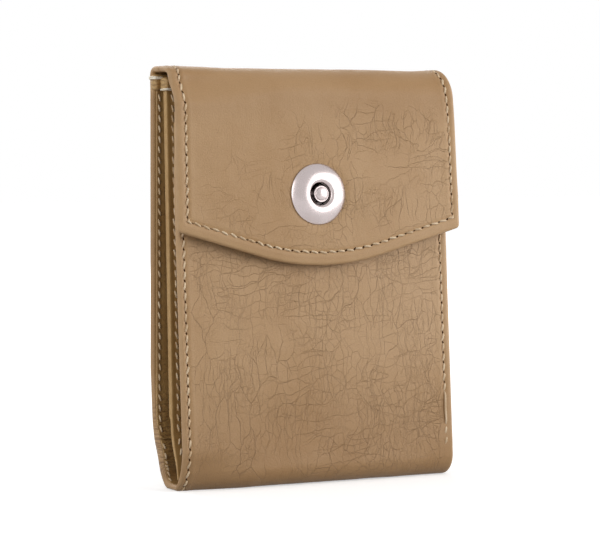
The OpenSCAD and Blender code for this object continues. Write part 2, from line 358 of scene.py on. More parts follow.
def leather_sheet(name, material, half, span, place, thick, rim, margin, crackle, relief,
                  free=(True, True), curved=False, corner=0.0, seats=(), shape=None, hole=None, fields=()):
    """A closed sheet of leather with turned edges.

    free says whether the start and the end of the span are free edges, curved that it follows the cover's
    line, shape bends the grid to the cut, relief raises the face that is seen, and seats are
    (distance in, depth) steps in the other face.
    """
    edge_lines = insets(rim, margin, seats)
    x, s = np.meshgrid(lines_between(-half, half, True, True, edge_lines),
                       lines_between(*span, *free, edge_lines, curved))
    start, end = s[0, 0], s[-1, 0]
    edge = half - np.abs(x)
    if free[0]:
        edge = np.minimum(edge, s - start)
    if free[1]:
        edge = np.minimum(edge, end - s)
    edge = np.maximum(edge, 0)
    side = edge >= half - np.abs(x) - 1e-6
    x, s = rounded(x, s, half, start, end, free, corner)
    if shape:
        x, s = shape(x, s)
    block = None
    if hole:
        x, s, block = pierced(x, s, *hole)
    bulge = np.clip(1 - edge / rim, 0, 1)
    whole = thick(s) if callable(thick) else thick + 0 * s
    seen = whole / 2 * (1 - np.sqrt(1 - bulge ** 2))
    hidden = whole - seen
    for distance, depth in seats:
        hidden = np.where(edge > distance + 0.03, depth(whole), hidden)
    raised = relief(x, s, edge) if relief else 0 * x
    raised = raised * smooth(0, rim, edge)

    count = x.size
    index = np.arange(count).reshape(x.shape)
    under = index + count
    under[:, 0], under[:, -1] = index[:, 0], index[:, -1]
    if free[0]:
        under[0] = index[0]
    if free[1]:
        under[-1] = index[-1]
    points = np.concatenate([np.stack(place(x, s, depth), -1).reshape(-1, 3)
                             for depth in (seen - raised, hidden)])
    faces = sheet_faces(index, under, free, block)
    used, renamed = np.unique(faces, return_inverse=True)
    used = used % (2 * count)
    faces = [list(dict.fromkeys(face)) for face in renamed.reshape(faces.shape).tolist()]
    obj = new_object(name, points[used], [face for face in faces if len(face) > 2], material)

    def both(values):
        """A grid's values at the points of both skins."""
        return np.tile(values.ravel(), 2)[used]
    depth = np.concatenate([seen.ravel(), hidden.ravel()])[used]
    flow = np.stack([both(x) + both(np.where(side, np.sign(x), 0)) * depth,
                     both(s) + both(np.where(side, 0, np.sign(s - (start + end) / 2))) * depth], -1)
    loops = np.zeros(len(obj.data.loops), int)
    obj.data.loops.foreach_get("vertex_index", loops)
    uv = obj.data.uv_layers.new(name="flow")
    uv.data.foreach_set("uv", flow[loops].astype(np.float32).ravel())
    for attribute, make in (("rim", lambda x, s, edge: 1 - smooth(0.2 * rim, 1.25 * rim, edge)),
                            ("crackle", crackle), *fields):
        layer = obj.data.attributes.new(attribute, "FLOAT", "POINT")
        layer.data.foreach_set("value", both(make(x, s, edge)).astype(np.float32))
    return obj


def sheet_faces(index, under, free, block):
    """The faces of a sheet's two skins, of the wall round its hole, and of its ends that aren't free."""
    def quads(grid):
        return np.stack([grid[:-1, :-1], grid[:-1, 1:], grid[1:, 1:], grid[1:, :-1]], -1)
    kept = np.ones(quads(index).shape[:2], bool)
    walls = []
    if block:
        r0, r1, c0, c1 = block
        kept[r0:r1, c0:c1] = False
        loop = ([(r0, c) for c in range(c0, c1)] + [(r, c1) for r in range(r0, r1)]
                + [(r1, c) for c in range(c1, c0, -1)] + [(r, c0) for r in range(r1, r0, -1)])
        walls.append(np.array([[index[a], index[b], under[b], under[a]]
                               for a, b in zip(loop, loop[1:] + loop[:1])]))
    for row, is_free in zip((0, -1), free):
        if not is_free:
            ends = (index[row, :-1], index[row, 1:], under[row, 1:], under[row, :-1])
            walls.append(2 * index.size + np.stack(ends[::-1] if row == 0 else ends, -1))
    return np.concatenate([quads(index)[kept], quads(under)[kept][:, ::-1], *walls])


def rounded(x, s, half, start, end, free, corner):
    """Draws a grid's free corners in to an arc."""
    x, s = x.copy(), s.copy()
    for is_free, way, limit in zip(free, (-1, 1), (start, end)):
        up = way * (s - limit) + corner
        out = np.abs(x) - (half - corner)
        here = (up > 0) & (out > 0) & bool(is_free and corner)
        ratio = np.maximum(up, out)[here] / np.hypot(up[here], out[here])
        x[here] = np.sign(x[here]) * (half - corner + out[here] * ratio)
        s[here] = limit + way * (up[here] * ratio - corner)
    return x, s


def pierced(x, s, centre_x, centre_s, radius):
    """Draws a grid round a hole. Returns x, s and the rows and columns of the cells that are cut away."""
    row = np.abs(s[:, s.shape[1] // 2] - centre_s).argmin()
    column = np.abs(x[row] - centre_x).argmin()
    r0, r1 = (np.abs(s[:, column] - centre_s - way * 0.9 * radius).argmin() for way in (-1, 1))
    c0, c1 = (np.abs(x[row] - centre_x - way * 0.9 * radius).argmin() for way in (-1, 1))
    left, right, upper, lower = x[row, c0], x[row, c1], s[r0, column], s[r1, column]
    u = (x - (left + right) / 2) / ((right - left) / 2)
    v = (s - (upper + lower) / 2) / ((lower - upper) / 2)
    square = np.maximum(np.abs(u), np.abs(v))
    away = np.maximum(np.hypot(u, v), 1e-6)
    reach = radius + 0.9 * radius * (square - 1)
    weight = smooth(1.0, 2.1, square)
    x = (1 - weight) * (centre_x + reach * u / away) + weight * x
    s = (1 - weight) * (centre_s + reach * v / away) + weight * s
    return x, s, (r0, r1, c0, c1)


# Rows of stitches

class Path:
    """A line of points on a sheet, in x and s."""

    def __init__(self, points):
        self.points = np.array(points, float)
        steps = np.hypot(*np.diff(self.points, axis=0).T)
        self.reach = np.concatenate([[0], np.cumsum(steps)])
        self.length = self.reach[-1]

    def at(self, distance):
        """(x, s) at a distance along the line."""
        return (np.interp(distance, self.reach, self.points[:, 0]),
                np.interp(distance, self.reach, self.points[:, 1]))

    def heading(self, distance):
        """The way ahead in x and s, 1 long, at a distance along the line."""
        ahead_x, ahead_s = self.at(distance + 0.05)
        before_x, before_s = self.at(distance - 0.05)
        dx, ds = ahead_x - before_x, ahead_s - before_s
        size = np.maximum(np.hypot(dx, ds), 1e-9)
        return dx / size, ds / size

    def distance_from(self, x, s):
        """Distance of each point of a grid from the line."""
        nearest = np.full(x.shape, 1e9)
        for (ax, ay), (bx, by) in zip(self.points[:-1], self.points[1:]):
            length = max((bx - ax) ** 2 + (by - ay) ** 2, 1e-9)
            t = np.clip(((x - ax) * (bx - ax) + (s - ay) * (by - ay)) / length, 0, 1)
            nearest = np.minimum(nearest, np.hypot(x - ax - t * (bx - ax), s - ay - t * (by - ay)))
        return nearest


def seam_relief(paths, x, s):
    """The groove that the stitches pull into the leather, and the low swell on each side of it."""
    height = 0 * x
    for path in paths:
        away = path.distance_from(x, s)
        height = height - GROOVE_DEPTH * bell(away, 0.0, GROOVE_WIDTH) + 0.07 * bell(away, 1.4, 0.7)
    return height


def tube_set(name, centres, normals, radii, material, twist=5.0):
    """Short lengths of twisted thread. centres and normals are (thread, ring, 3), radii one for each ring."""
    tangent = unit(np.gradient(centres, axis=1))
    sideways = unit(np.cross(tangent, normals))
    upright = np.cross(sideways, tangent)
    angle = circle(THREAD_SIDES)
    turn = np.linspace(0, twist, len(radii))[:, None]
    radius = radii[:, None] * (1 + 0.14 * np.cos(THREAD_LOBES * (angle[None, :] - turn)))
    return ring_set(name, centres[:, :, None] + radius[None, :, :, None] * (
        np.cos(angle)[None, None, :, None] * upright[:, :, None]
        + np.sin(angle)[None, None, :, None] * sideways[:, :, None]), material)


def way_out(place, x, s):
    """The direction out of the sheet at x, s."""
    return unit(np.stack(place(x, s, 0 * x - 1), -1) - np.stack(place(x, s, 0 * x), -1))


def stitch_row(name, path, place):
    """Stitches along a path, with the needle holes between them as shallow dishes in a dark colour, painted
    shade for their depth. Returns the thread and the holes.
    """
    count = int(round(path.length / STITCH_PITCH))
    pitch = path.length / count
    t = np.linspace(0, 1, STITCH_RINGS)
    starts = np.arange(count) * pitch + (pitch - STITCH_LENGTH) / 2
    distance = starts[:, None] + t[None, :] * STITCH_LENGTH
    x, s = path.at(distance)
    dx, ds = path.heading(distance)
    chance = np.random.RandomState(sum(map(ord, name)))
    lean = STITCH_SLANT * (1 + 0.3 * chance.randn(count, 1))
    offset = (t[None, :] - 0.5) * STITCH_LENGTH * lean + 0.05 * chance.randn(count, 1)
    x, s = x - ds * offset, s + dx * offset
    arch = np.sin(math.pi * t) ** 0.55
    depth = GROOVE_DEPTH + THREAD_SINK - THREAD_RISE * arch
    depth = depth[None, :] - 0.05 * chance.rand(count, 1) * arch[None, :]
    radii = STITCH_RADIUS * (0.7 + 0.3 * np.sin(math.pi * t) ** 0.5)
    thread = tube_set(name, np.stack(place(x, s, depth + 0 * x), -1), way_out(place, x, s), radii, THREAD)

    at = np.arange(count + 1) * pitch
    hole_x, hole_s, dx, ds = (values[:, None] for values in (*path.at(at), *path.heading(at)))
    around = circle(HOLE_SIDES)
    rings = []
    for scale, deeper in ((1.0, 0.1), (0.92, -0.07), (0.5, -0.03)):
        length = HOLE_LENGTH * scale * np.cos(around)
        width = HOLE_WIDTH * scale * np.sin(around) - length * STITCH_SLANT * 2.6
        x, s = hole_x + length * dx - width * ds, hole_s + length * ds + width * dx
        rings.append(np.stack(place(x, s, GROOVE_DEPTH + deeper + 0 * x), -1))
    return thread, ring_set(name + "_holes", np.stack(rings, 1), HOLE_SHADE)


# Materials

def rgb(red, green, blue):
    """A linear colour from sRGB levels out of 255."""
    levels = (level / 255 for level in (red, green, blue))
    return tuple(c / 12.92 if c <= 0.04045 else ((c + 0.055) / 1.055) ** 2.4 for c in levels) + (1.0,)


def shaded(colour, *factors):
    """A colour with its red, green and blue multiplied."""
    return tuple(min(1, c * factor) for c, factor in zip(colour, factors)) + (1.0,)


class Shader:
    """The node tree of a new material or world, with short calls for what is needed here."""

    def __init__(self, owner):
        self.owner = owner
        owner.use_nodes = True
        self.tree = owner.node_tree

    def put(self, socket, value):
        if isinstance(value, bpy.types.NodeSocket):
            self.tree.links.new(value, socket)
        else:
            socket.default_value = value

    def fill(self, node, inputs):
        for key, value in inputs.items():
            self.put(node.inputs[key.replace("_", " ")], value)

    def set(self, **inputs):
        self.fill(self.tree.nodes["Principled BSDF"], inputs)

    def node(self, kind, settings=(), **inputs):
        made = self.tree.nodes.new(kind)
        for key, value in settings:
            setattr(made, key, value)
        self.fill(made, inputs)
        return made

    def joined(self, kind, operation, a, b):
        made = self.node(kind, [("operation", operation)])
        self.put(made.inputs[0], a)
        self.put(made.inputs[1], b)
        return made.outputs[0]

    def math(self, operation, a, b=0.0):
        return self.joined("ShaderNodeMath", operation, a, b)

    def vector(self, operation, a, b):
        return self.joined("ShaderNodeVectorMath", operation, a, b)

    def times(self, a, b):
        return self.math("MULTIPLY", a, b)

    def plus(self, a, b):
        return self.math("ADD", a, b)

    def minus(self, a, b):
        return self.math("SUBTRACT", a, b)

    def object_place(self):
        return self.node("ShaderNodeTexCoord").outputs["Object"]

    def attribute(self, name):
        return self.node("ShaderNodeAttribute", [("attribute_name", name)]).outputs["Fac"]

    def noise(self, vector, scale, detail=2.0, roughness=0.5, flat="2D", output="Fac"):
        return self.node("ShaderNodeTexNoise", [("noise_dimensions", flat)], Vector=vector, Scale=scale,
                         Detail=detail, Roughness=roughness).outputs[output]

    def edges(self, vector, scale):
        settings = [("voronoi_dimensions", "2D"), ("feature", "DISTANCE_TO_EDGE")]
        return self.node("ShaderNodeTexVoronoi", settings, Vector=vector, Scale=scale).outputs["Distance"]

    def ramp(self, value, low, high, start=0.0, end=1.0):
        return self.node("ShaderNodeMapRange", [("interpolation_type", "SMOOTHSTEP")], Value=value,
                         From_Min=low, From_Max=high, To_Min=start, To_Max=end).outputs["Result"]

    def mix(self, factor, a, b):
        made = self.node("ShaderNodeMix", [("data_type", "RGBA")], Factor=factor)
        self.put(made.inputs[6], a)
        self.put(made.inputs[7], b)
        return made.outputs[2]

    def bump(self, height, distance):
        return self.node("ShaderNodeBump", Height=height, Distance=distance, Strength=1.0).outputs["Normal"]

    def even_line(self, pattern, vector, width):
        """Lines of one width, in the vector's units, along which a pattern is nought."""
        step = 0.02
        here = pattern(vector)
        slope_x = self.minus(pattern(self.vector("ADD", vector, (step, 0, 0))), here)
        slope_y = self.minus(pattern(self.vector("ADD", vector, (0, step, 0))), here)
        slope = self.math("SQRT", self.plus(self.times(slope_x, slope_x), self.times(slope_y, slope_y)))
        slope = self.math("MAXIMUM", self.math("DIVIDE", slope, step), 0.03)
        away = self.math("DIVIDE", self.math("ABSOLUTE", here), slope)
        return self.ramp(away, 0.2 * width, width, 1.0, 0.0)


# Layers of crackle: kind, cell size, turn, line width, strength, scale and cover of its patches, shift
CRACKLE = (
    ("cells", (4.4, 12.0), 3, 0.11, 0.9, 0.06, 0.11, 3.1),
    ("cells", (2.2, 4.8), -4, 0.09, 0.7, 0.07, 0.09, 5.3),
    ("cells", (9.0, 3.4), -8, 0.09, 0.7, 0.05, 0.06, 8.4),
    ("cells", (1.3, 2.4), 6, 0.08, 0.4, 0.07, 0.06, 9.2),
    ("strands", (3.6, 30.0), 2, 0.10, 0.7, 0.06, 0.09, 1.7),
    ("strands", (22.0, 4.6), -7, 0.09, 0.7, 0.05, 0.07, 6.6),
)


def crackled_leather(name, face, deep, crease, rim_colour, burnish_and_shade_colour, crack_strength, roughness):
    """Artificial leather: a fine crackle, mostly up and down, puckers by the seams with painted shade in
    their valleys, and worn turned edges. The pale attribute paints light; tone paints burnished edges and
    painted shade.
    """
    m = Shader(bpy.data.materials.new(name))
    flow = m.node("ShaderNodeUVMap", [("uv_map", "flow")]).outputs["UV"]
    rim, density, tone, pucker, pale = map(m.attribute, ("rim", "crackle", "tone", "pucker", "pale"))

    bent = flow
    for scale, reach in ((0.09, 5.5), (0.7, 0.4)):
        wander = m.vector("SUBTRACT", m.noise(flow, scale, output="Color"), (0.5, 0.5, 0.5))
        bent = m.vector("ADD", bent, m.vector("MULTIPLY", wander, (reach, reach, reach)))
    sparse = m.times(m.minus(1.0, density), 0.25)

    cracks = None
    for kind, size, angle, width, strength, patch, cover, shift in CRACKLE:
        def pattern(vector):
            turned = m.node("ShaderNodeMapping", [("vector_type", "TEXTURE")], Vector=vector,
                            Location=(shift, shift * 0.7, 0), Rotation=(0, 0, math.radians(angle)),
                            Scale=(*size, 1)).outputs["Vector"]
            return m.edges(turned, 1.0) if kind == "cells" else m.minus(m.noise(turned, 1.0, 1.0), 0.5)
        moved = m.vector("ADD", flow, (shift * 11.0, shift * 5.0, 0))
        shown = m.minus(m.noise(moved, patch, 1.0), sparse)
        mask = m.ramp(shown, 0.36 - cover, 0.64 - cover)
        layer = m.times(m.times(m.even_line(pattern, bent, width), mask), strength)
        cracks = m.math("MAXIMUM", cracks, layer) if cracks is not None else layer
    cracks = m.times(cracks, m.ramp(density, 0.0, 0.25))
    cracks = m.times(cracks, m.minus(1.0, m.times(rim, 0.8)))

    gathered = m.node("ShaderNodeMapping", Vector=flow, Scale=(0.4, 1.35, 1)).outputs["Vector"]
    folds = m.noise(gathered, 1.0, 2.0, 0.6)
    colour = m.mix(m.ramp(m.noise(flow, 0.028, 3.0, 0.6), 0.35, 0.68), face, deep)
    worn = m.ramp(m.noise(flow, 0.5, 3.0), 0.3, 0.7, 0.45, 0.85)
    # pale paints light on the front leaf and the flap, lighter towards their right sides
    for factor, over in ((pale, shaded(face, 1.14, 1.19, 1.32)),
                         (m.ramp(m.noise(flow, 2.6), 0.35, 0.7, 0.0, 0.10), crease),
                         (m.times(cracks, crack_strength), crease),
                         (m.times(rim, worn), rim_colour),
                         # tone darkens the burnished edges, and paints shade on the foot and the ridge
                         (tone, burnish_and_shade_colour),
                         # pucker paints shade into the valleys of the gathers
                         (m.times(pucker, m.ramp(folds, 0.5, 0.36, 0.0, 0.6)), crease)):
        colour = m.mix(factor, colour, over)

    pores = m.noise(flow, 3.2, 3.0, 0.6)
    pebble = m.ramp(m.edges(bent, 1.15), 0.0, 0.35)
    height = m.plus(m.times(pores, 0.14), m.times(pebble, 0.08))
    height = m.plus(height, m.times(m.noise(flow, 0.16, 3.0, 0.55), 0.9))
    height = m.plus(height, m.times(m.times(folds, pucker), 2.0))
    height = m.minus(height, m.times(cracks, 0.65))
    rough = m.plus(roughness - 0.03, m.times(m.noise(flow, 0.35, 3.0), 0.08))
    m.set(Base_Color=colour, Roughness=rough, Normal=m.bump(height, 0.00022), Specular_IOR_Level=0.3)
    return m.owner


def grained(name, grain, colours, rough, bump, patch=None, steps=None, stretch=None, **values):
    """A plain material: two colours in slow patches or in the grain itself, under a fine grain.

    rough is a range over the fine grain, or one value that the patches raise a little.
    """
    m = Shader(bpy.data.materials.new(name))
    place = m.object_place()
    if stretch:
        place = m.node("ShaderNodeMapping", Vector=place, Scale=stretch).outputs["Vector"]
    fine = m.noise(place, *grain, 0.6, "3D")
    slow = m.noise(place, patch, 3.0, 0.5, "3D") if patch else fine
    share = m.ramp(slow, *steps) if steps else slow
    ranged = isinstance(rough, tuple)
    rough = m.ramp(fine, 0.2, 0.8, *rough) if ranged else m.plus(rough, m.times(slow, 0.10))
    m.set(Base_Color=m.mix(share, *colours), Roughness=rough, Normal=m.bump(fine, bump), **values)
    return m.owner


def thread_material(name, light, dark):
    """Spun polyester thread: fine fibres, a little fuzz and soiling."""
    return grained(name, (5200.0, 2.0), (light, dark), (0.55, 0.75), 0.00006, 160.0, (0.35, 0.7),
                   Specular_IOR_Level=0.35, Sheen_Weight=0.25, Sheen_Roughness=0.4)


def nickel(name, tint, roughness):
    """Nickel plate with a faint turned grain."""
    return grained(name, (1400.0, 3.0), (tint, shaded(tint, 0.9, 0.88, 0.87)), roughness, 0.000004, 260.0,
                   Metallic=1.0)


OUTER = crackled_leather("outer_leather", rgb(182, 146, 105), rgb(175, 138, 96), rgb(104, 72, 42),
                         rgb(192, 157, 116), rgb(134, 96, 60), 0.39, 0.49)
INNER = crackled_leather("inner_leather", rgb(176, 139, 86), rgb(166, 128, 76), rgb(98, 66, 34),
                         rgb(196, 162, 112), rgb(120, 84, 52), 0.6, 0.52)
THREAD = thread_material("thread", rgb(226, 203, 170), rgb(196, 166, 128))
WHITE_THREAD = thread_material("bartack_thread", rgb(255, 248, 232), rgb(240, 222, 190))
# Painted shade: the needle holes' dark brown stands in for the shade inside the holes.
HOLE_SHADE = grained("needle_hole_shade", (3500.0, 2.0), (rgb(74, 46, 24), shaded(rgb(74, 46, 24), 0.5, 0.5, 0.5)),
               (0.8, 0.95), 0.00008, Specular_IOR_Level=0.1)
BOARD = grained("board_fibre", (1.0, 3.0), (rgb(158, 148, 132), rgb(128, 118, 104)), (0.78, 0.92), 0.00005,
                steps=(0.35, 0.65), stretch=(900.0, 900.0, 260.0))
NICKEL = nickel("nickel_plate", (0.54, 0.475, 0.47, 1.0), 0.22)
# A darker copy of the nickel plate: painted shade for the parts deep inside the snap.
NICKEL_PAINTED_SHADE = nickel("nickel_painted_shade", (0.30, 0.28, 0.27, 1.0), 0.3)
MAGNET = grained("magnet_coat", (900.0, 3.0), (rgb(96, 96, 98), rgb(70, 70, 72)), (0.4, 0.55), 0.00001,
                 Metallic=0.8)


# Places on the sheets

def on_cover(x, s, n):
    """World place of a point of the cover: across, along and in."""
    y, z = COVER.at(s, n * swollen(x, s))
    return settled(drifted(x, s), y, z)


def inside_cover(x, s, n):
    """The same line seen from inside: n runs out from the face of the fold's lining."""
    return on_cover(x, s, cover_thick(s) - n)


def left_side(x):
    """1 at the left side, where the seams pull the fold together most, and low at the right side."""
    return smooth(-22, -44, x) + 0.3 * smooth(22, 44, x)


def swollen(x, s):
    """How much the layers puff up inside the rear bottom fold, where the lining gathers."""
    gathered = between(S_BASE_MID, S_BASE_REAR + 5, S_BACK_FOOT - 2, S_BACK_FOOT + 14, s)
    return 1 + FOLD_SWELL * gathered * left_side(x)


def drifted(x, s):
    """x with the small sideways stretch of each leaf and the front leaf's narrower upper left corner."""
    flap = FLAP_DRIFT * smooth(S_TOP_FRONT, S_FLAP + 10, s) * smooth(15, 46, x)
    front = LEAF_DRIFT * (1 - smooth(S_FRONT_FOOT - 8, S_FRONT_FOOT + 4, s)) * smooth(15, 45, x)
    back = LEAF_DRIFT * between(S_BACK_FOOT, S_BACK_FOOT + 12, S_TOP_REAR, S_TOP_FRONT, s)
    narrowed = CORNER_NARROWED * (1 - smooth(front_s(108), front_s(76), s)) * smooth(-20, -45, x)
    return x + flap - front - back * smooth(-20, -46, x) + narrowed


def settled(x, y, z):
    """How the finished wallet has settled: its bottom drawn together, its flap's fold back, a low ridge."""
    x, y, z = (np.asarray(a, float) for a in np.broadcast_arrays(x, y, z))
    rear = smooth(15, 5, z) * smooth(1, REAR_Y - 2, y)
    front = smooth(12.5, 3, z) * smooth(-2, -9, y)
    over = between(111.5, 118.5, 118.0, 122.6, z) * smooth(2.0, -3.0, y) * smooth(-10, -46, x)
    sag = RIDGE_SAG * between(-44, -25, 38, 47, x) * smooth(112, 121, z)
    return x, y + FOLD_PULL * left_side(x) * (front - rear) + FLAP_FALL * over, z - sag


def cover_thick(s):
    """Thickness of cover, board and lining at s: thicker in the stiffened leaves."""
    front = 1 - smooth(S_FRONT_FOOT - 6, S_FRONT_FOOT + 1, s)
    back = between(S_BACK_FOOT - 1, S_BACK_FOOT + 6, S_BACK_TOP - 6, S_BACK_TOP, s)
    return FOLD_T + BOARD_T * (front + back)


def unmoved(x, z):
    """A panel that stands where its node does."""
    return 0 * z


def page_back(x, z):
    """How far forward of its node the middle leaf stands: less than nothing, from its foot up."""
    return -PAGE_SETBACK * smooth(4, 22, z)


def on_page(x, v, n):
    """World place of a point of the middle leaf: across, up from its foot and back from its front face."""
    y, z = PAGE.at(n, v)
    return settled(x, y - page_back(x, z), z)


# The paths of the stitch rows

def flap_seam():
    """Down one side of the flap, along its curved edge and up the other side."""
    corner = float(cover_half(S_TIP - FLAP_CORNER_RISE)) - FLAP_SEAM_INSET
    along = [(x, float(S_TIP - FLAP_SEAM_RISE - flap_tip(x)))
             for x in np.linspace(FLAP_SEAM_SHIFT - corner, FLAP_SEAM_SHIFT + corner, 41)]

    def side(sign, foot):
        return [(sign * (float(cover_half(s)) - FLAP_SEAM_INSET) + FLAP_SEAM_SHIFT * (s > S_FLAP), s)
                for s in np.linspace(S_TOP_FRONT + 1.0, foot[1] - 1.2, 24)]
    return Path(side(-1, along[0]) + along + side(1, along[-1])[::-1])


def straight_path(x, start, end):
    """A row of stitches that runs along s at x."""
    return Path([(x, s) for s in np.linspace(start, end, 40)])


def back_path(sign):
    """The row up one side of the back leaf, a fixed distance in from its edge."""
    return Path([(sign * (float(cover_half(s)) - BACK_SEAM_INSET), s)
                 for s in np.linspace(S_BASE_REAR + 1.5, back_s(WALLET_H - BACK_SEAM_DROP), 60)])


FLAP_SEAM = flap_seam()
FRONT_LEFT = straight_path(FRONT_SEAM_LEFT, S_FRONT_TOP + 2.5, S_BASE_FRONT - 1.0)
FRONT_RIGHT = straight_path(FRONT_SEAM_RIGHT, S_FRONT_TOP + 2.5, front_s(19.0))
BACK_LEFT, BACK_RIGHT = back_path(-1), back_path(1)
BARREL = box_mm("snap_barrel")
SNAP_CENTRE = (BARREL[0] + BARREL[1]) / 2 + np.array([SNAP_SHIFT, 0, 0])
SNAP_X = float(SNAP_CENTRE[0])
SNAP_S = S_FLAP + float((np.array(COVER.at(S_FLAP, 0.0)) - SNAP_CENTRE[1:]) @ FLAP.up)


# Relief, crackle, tone, painted shade and painted light of the cover

def cover_relief(x, s, edge):
    """Slow swells of the leather, the dip round the snap and the pull of the seams."""
    swell = 0.11 * field(x, s, 21.0, 3.0) + 0.05 * field(x, s, 7.5, 11.0)
    paths = []
    if s.max() > S_FLAP:
        swell = swell - 0.3 * bell(np.hypot(x - SNAP_X, s - SNAP_S), 9.0, 0.8)
        paths += [FLAP_SEAM]
    if s.min() < S_FRONT_FOOT:
        paths += [FRONT_LEFT, FRONT_RIGHT]
    if s.max() > S_BASE_MID + 1 and s.min() < S_BACK_TOP:
        paths += [BACK_LEFT, BACK_RIGHT]
    return swell * smooth(1.0, 8.0, edge) + seam_relief(paths, x, s)


def cover_crackle(x, s, edge):
    """How strongly the leather is crackled: dense on the leaves, sparse at the top and left of the flap."""
    front = (1 - smooth(S_FRONT_FOOT - 8, S_FRONT_FOOT + 9, s)) * (0.75 + 0.25 * smooth(-40, 10, x))
    back = between(S_BACK_FOOT, S_BACK_FOOT + 15, S_BACK_TOP - 15, S_BACK_TOP, s) * 0.9
    flap = smooth(S_FLAP - 4, S_FLAP + 14, s) * (0.12 + 0.45 * smooth(-42, 20, x))
    most = np.maximum(np.maximum(np.maximum(front, back), flap), 0.06)
    patches = 0.85 + 0.3 * field(x, s, 26.0, 8.0)
    return np.clip(most * patches, 0, 1) * smooth(1.5, 7.0, edge)


def cover_burnish_and_shade(x, s, edge):
    """The dark burnished edge of the back leaf, a dark band on the edges just past the rear top fold, and
    painted shade that darkens the foot and the ridge.
    """
    back = between(S_BACK_FOOT - 4, S_BACK_FOOT + 40, back_s(114.5), back_s(116), s)
    notch = bell(s, S_TOP_REAR + 3.5, 0.35)
    foot = between(front_s(38), S_FRONT_FOOT + 2, S_BASE_REAR, S_BACK_FOOT + 10, s)
    ridge = between(S_BACK_TOP, S_TOP_FRONT, S_FLAP, S_FLAP + 12, s)
    edges = 0.36 * back * (1 - smooth(0.8, 3.4, edge)) + 0.8 * notch * (1 - smooth(0.6, 1.8, edge))
    return np.maximum(edges, 0.28 * foot + 0.16 * ridge)


def cover_painted_light(x, s, edge):
    """Painted light: the front leaf away from its foot and the flap are a little lighter, their right sides
    most, where the lamps fall on them.
    """
    front = 1 - smooth(front_s(40), front_s(14), s)
    flap = smooth(S_FLAP, S_FLAP + 20, s)
    return front * (0.3 + 0.6 * smooth(-10, 45, x)) + flap * (0.05 + 0.4 * smooth(0, 45, x))


def fold_pucker(x, s, edge):
    """Where the leather gathers along the seam near the bottom fold."""
    fold = between(S_BASE_REAR, S_BASE_REAR + 4, S_BACK_FOOT + 8, S_BACK_FOOT + 20, s)
    return fold * (1 - smooth(3.0, 9.0, edge))


# Relief and crackle of the lining

def lining_relief(x, s, edge):
    """Slight swells, and the creases that the bottom fold presses into its inner side."""
    swell = 0.05 * field(x, s, 11.0, 21.0)
    folded = between(S_BASE_REAR - 4, S_BASE_REAR + 3, S_BACK_FOOT + 12, S_BACK_FOOT + 22, s)
    if folded.max() > 0:
        bent = s + 0.9 * field(x, s, 6.0, 31.0)
        crease = np.maximum(np.sin(bent * 2 * math.pi / 2.3), -0.3) * (0.6 + 0.4 * field(x, s, 5.0, 33.0))
        swell = swell + 0.12 * folded * crease
    return swell


def lining_crackle(x, s, edge):
    """Sparse creases on the lining."""
    return np.clip(0.35 + 0.3 * field(x, s, 20.0, 41.0), 0, 1) * smooth(0.5, 5.0, edge)


# The cover and its lining, each in four lengths

def finish_piece(obj, slot, nodes, bodies, bend=None, bend_place=on_cover):
    """Hides the nodes that a piece stands for and attaches it to its one body; with a bend between two bodies
    it works out the bend's ends and bakes the piece in place.
    """
    if nodes:
        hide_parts(*nodes)
    if bend is None:
        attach(obj, bodies)
    else:
        start, end = (tuple(float(c) * MM for c in bend_place(0.0, s, 0.0)) for s in bend)
        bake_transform(obj)


def strip_shape(half, inset):
    """Takes a grid of this half width to the strip's own edge at s and the flap's curve, less the inset."""
    def shape(x, s):
        x = x * (cover_half(s) - inset) / (half - inset)
        return x, s - flap_tip(x) * smooth(S_TIP - 30, S_TIP - FINE_MARGIN - 1, s)
    return shape


FRONT_BEND = (("front_leaf", "bottom"), (S_FRONT_FOOT, S_BASE_FRONT))
REAR_BEND = (("bottom", "back_leaf"), (S_BASE_REAR, S_BACK_FOOT))
TOP_REAR_BEND = (("back_leaf", "top"), (S_BACK_TOP, S_TOP_REAR))
TOP_BEND = (("top", "flap"), (S_TOP_FRONT, S_FLAP))
SEATS = [(LINING_INSET, lambda whole: whole - LINING_T), (BOARD_INSET, lambda whole: COVER_T + 0 * whole)]

# Each length's name, start, end, half width and bend, then its nodes and corner radius as cover and as lining
LENGTHS = (
    ("front", S_FRONT_TOP, S_BASE_MID, FRONT_HALF, FRONT_BEND,
     (["front_cover", "fold_bottom_front"], 2.5), (["front_lining"], 2.0)),
    ("back_lower", S_BASE_MID, S_BACK_MID, BACK_HALF, REAR_BEND,
     (["base_cover", "fold_bottom_rear"], 0.0), (["base_lining"], 0.0)),
    ("back_upper", S_BACK_MID, S_TOP_MID, BACK_HALF, TOP_REAR_BEND,
     (["back_cover", "fold_top_rear"], 0.0), (["back_lining"], 0.0)),
    ("flap", S_TOP_MID, S_TIP, FLAP_HALF, TOP_BEND,
     (["flap_cover", "fold_top_front", "spine_cover"], 1.0), (["flap_lining", "spine_lining"], 1.0)),
)


def lay_strip(prefix, which, slot, material, inset, *sheet, seats=()):
    """The four lengths of the cover or of its lining, each curved round the bend between its two bodies and
    baked in place.
    """
    for name, start, end, half, bend, *facts in LENGTHS:
        nodes, corner = facts[which]
        free = (start == S_FRONT_TOP, end == S_TIP)
        span = (start + inset * free[0], end - inset * free[1])
        obj = leather_sheet(prefix + name, material, half - inset, span, *sheet, free=free, curved=True,
                            corner=corner, seats=seats, shape=strip_shape(half, inset),
                            hole=(SNAP_X, SNAP_S, SNAP_HOLE_R) if free[1] else None,
                            fields=[("tone", cover_burnish_and_shade), ("pucker", fold_pucker), ("pale", cover_painted_light)])
        finish_piece(obj, slot, nodes, *bend)


